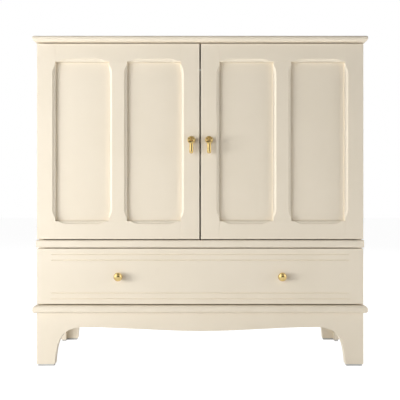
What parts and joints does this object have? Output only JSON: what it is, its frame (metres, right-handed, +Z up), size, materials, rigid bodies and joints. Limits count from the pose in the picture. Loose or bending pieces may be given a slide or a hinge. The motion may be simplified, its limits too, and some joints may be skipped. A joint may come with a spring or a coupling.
{
  "type": "armoire",
  "caption": "Low cream armoire: panelled hinged doors with brass drop pulls above a full-width drawer with round knobs, on a curved plinth with bracket feet.",
  "frame": {"origin": "on the floor, under the middle of the bounding box", "axes": "+X along the width to the right of a viewer in front, +Y from the doors towards the wall, +Z up; the doors face -Y"},
  "size_m": [1.02, 0.384, 1.0075],
  "materials": {
    "cream_paint": "satin cream paint over wood and board",
    "painted_board": "matt cream coated board, unseen inside and at the back",
    "brass": "polished",
    "steel": "nickel-plated, satin",
    "grey_plastic": "matt"
  },
  "bodies": {
    "carcass": {"top_panel": "cream_paint", "base_panel": "cream_paint", "mid_rail": "cream_paint", "divider_panel": "cream_paint", "apron_front": "cream_paint", "apron_back": "cream_paint", "side_panel_left": "cream_paint", "side_panel_right": "cream_paint", "apron_left": "cream_paint", "apron_right": "cream_paint", "adjustable_shelf": "cream_paint", "back_panel_upper": "painted_board", "back_panel_lower": "painted_board", "cabinet_runner_left": "steel", "cabinet_runner_right": "steel", "glide_front_left": "grey_plastic", "glide_front_right": "grey_plastic", "glide_back_left": "grey_plastic", "glide_back_right": "grey_plastic", "shelf_pin_front_left": "steel", "shelf_pin_front_right": "steel", "shelf_pin_back_left": "steel", "shelf_pin_back_right": "steel", "left_hinge_arm_lower": "steel", "left_hinge_arm_upper": "steel", "right_hinge_arm_lower": "steel", "right_hinge_arm_upper": "steel"},
    "drawer": {"drawer_front": "cream_paint", "drawer_side_left": "painted_board", "drawer_side_right": "painted_board", "drawer_back": "painted_board", "drawer_bottom": "painted_board", "drawer_runner_left": "steel", "drawer_runner_right": "steel", "drawer_knob_left": "brass", "drawer_knob_right": "brass"},
    "left_door": {"left_stile_outer": "cream_paint", "left_stile_inner": "cream_paint", "left_rail_top": "cream_paint", "left_rail_bottom": "cream_paint", "left_mullion": "cream_paint", "left_panel_outer": "cream_paint", "left_panel_inner": "cream_paint", "left_hinge_cup_lower": "steel", "left_hinge_cup_upper": "steel", "left_pull_base": "brass", "left_pull_pin": "brass"},
    "left_pull": {"left_pull_drop": "brass"},
    "right_door": {"right_stile_outer": "cream_paint", "right_stile_inner": "cream_paint", "right_rail_top": "cream_paint", "right_rail_bottom": "cream_paint", "right_mullion": "cream_paint", "right_panel_outer": "cream_paint", "right_panel_inner": "cream_paint", "right_hinge_cup_lower": "steel", "right_hinge_cup_upper": "steel", "right_pull_base": "brass", "right_pull_pin": "brass"},
    "right_pull": {"right_pull_drop": "brass"}
  },
  "joints": [
    {"name": "left_door_hinge", "type": "hinge", "parent": "carcass", "child": "left_door", "pos_m": [-0.492, -0.156, 0.687], "axis": [0, 0, -1], "range_deg": [0, 105]},
    {"name": "right_door_hinge", "type": "hinge", "parent": "carcass", "child": "right_door", "pos_m": [0.492, -0.156, 0.687], "axis": [0, 0, 1], "range_deg": [0, 105]},
    {"name": "left_pull_swing", "type": "hinge", "parent": "left_door", "child": "left_pull", "pos_m": [-0.027, -0.182, 0.691], "axis": [-1, 0, 0], "range_deg": [0, 80]},
    {"name": "right_pull_swing", "type": "hinge", "parent": "right_door", "child": "right_pull", "pos_m": [0.027, -0.182, 0.691], "axis": [-1, 0, 0], "range_deg": [0, 80]},
    {"name": "drawer_slide", "type": "slide", "parent": "carcass", "child": "drawer", "axis": [0, -1, 0], "range_m": [0, 0.25]}
  ]
}
